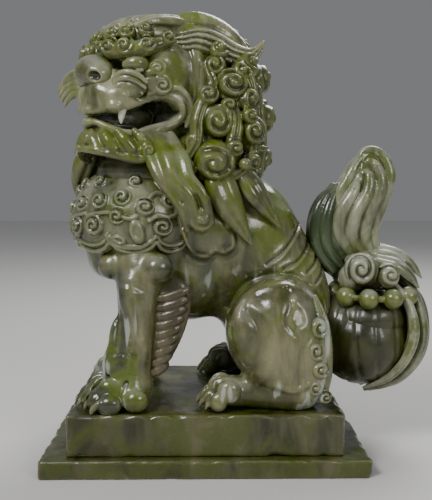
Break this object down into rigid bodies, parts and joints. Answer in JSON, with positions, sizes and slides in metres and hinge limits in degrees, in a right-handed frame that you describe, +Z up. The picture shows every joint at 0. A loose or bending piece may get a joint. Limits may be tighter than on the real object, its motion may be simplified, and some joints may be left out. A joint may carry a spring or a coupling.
{
  "type": "guardian lion statue",
  "caption": "Seated guardian lion on a stepped rectangular plinth, head turned to one side, with a curled mane and an upright plume tail.",
  "frame": {"origin": "centre of the underside of the lower plinth", "axes": "+Z up, the lion faces -Y, its left side is +X"},
  "size_m": [0.188, 0.3518, 0.3968],
  "materials": {
    "plinth_glaze": "gloss",
    "body_glaze": "gloss",
    "mane_glaze": "gloss",
    "tail_glaze": "gloss",
    "mouth_glaze": "gloss",
    "tooth_glaze": "gloss"
  },
  "bodies": {
    "root": {"plinth_lower": "plinth_glaze", "plinth_upper": "plinth_glaze", "torso": "body_glaze", "head": "body_glaze", "lower_jaw": "body_glaze", "nose": "body_glaze", "chest_apron": "body_glaze", "left_haunch": "body_glaze", "left_hind_foot": "body_glaze", "left_foreleg": "body_glaze", "left_forepaw": "body_glaze", "left_foreleg_fringe": "body_glaze", "left_haunch_fringe": "body_glaze", "left_whiskers": "body_glaze", "right_haunch": "body_glaze", "right_hind_foot": "body_glaze", "right_foreleg": "body_glaze", "right_forepaw": "body_glaze", "right_foreleg_fringe": "body_glaze", "right_haunch_fringe": "body_glaze", "right_whiskers": "body_glaze", "mane_cape": "mane_glaze", "beard": "mane_glaze", "rear_curl_top": "mane_glaze", "rear_curl_middle": "mane_glaze", "rear_curl_low": "mane_glaze", "left_brow": "mane_glaze", "left_ear": "mane_glaze", "left_beard_lock": "mane_glaze", "left_long_lock": "mane_glaze", "left_short_lock": "mane_glaze", "left_curl_ear": "mane_glaze", "left_curl_top": "mane_glaze", "left_curl_middle": "mane_glaze", "left_curl_back": "mane_glaze", "left_curl_low": "mane_glaze", "right_brow": "mane_glaze", "right_ear": "mane_glaze", "right_beard_lock": "mane_glaze", "right_long_lock": "mane_glaze", "right_short_lock": "mane_glaze", "right_curl_ear": "mane_glaze", "right_curl_top": "mane_glaze", "right_curl_middle": "mane_glaze", "right_curl_back": "mane_glaze", "right_curl_low": "mane_glaze", "tail_bulb": "tail_glaze", "tail_knot": "tail_glaze", "tail_plume": "tail_glaze", "tail_front_flame": "tail_glaze", "tail_bead_band": "tail_glaze", "left_tail_rosette": "tail_glaze", "left_tail_lock": "tail_glaze", "right_tail_rosette": "tail_glaze", "right_tail_lock": "tail_glaze", "tongue": "mouth_glaze", "left_eye": "tooth_glaze", "left_fang": "tooth_glaze", "right_eye": "tooth_glaze", "right_fang": "tooth_glaze"}
  },
  "joints": []
}
